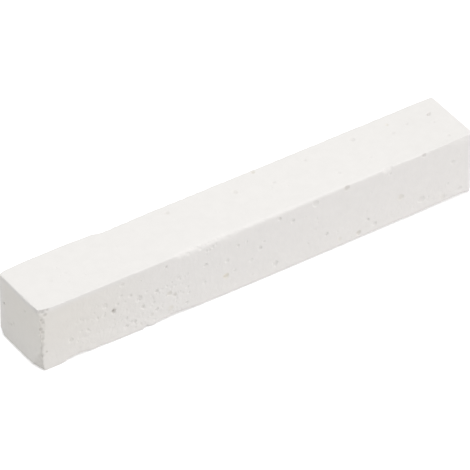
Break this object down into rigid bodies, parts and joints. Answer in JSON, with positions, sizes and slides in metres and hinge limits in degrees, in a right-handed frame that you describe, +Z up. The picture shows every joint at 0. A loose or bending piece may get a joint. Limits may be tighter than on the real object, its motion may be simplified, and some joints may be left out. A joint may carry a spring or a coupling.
{
  "type": "blackboard chalk stick",
  "caption": "Square stick of white cast blackboard chalk, with worn long edges, small bubble pits and a chipped near end.",
  "frame": {"origin": "middle of the base, the long face that the stick lies on", "axes": "+X along the stick from the chipped near end to the far end, +Y from the front face to the back face, +Z up"},
  "size_m": [0.083, 0.0122, 0.0122],
  "materials": {
    "chalk": "matte"
  },
  "bodies": {
    "root": {"chalk_stick": "chalk"}
  },
  "joints": []
}
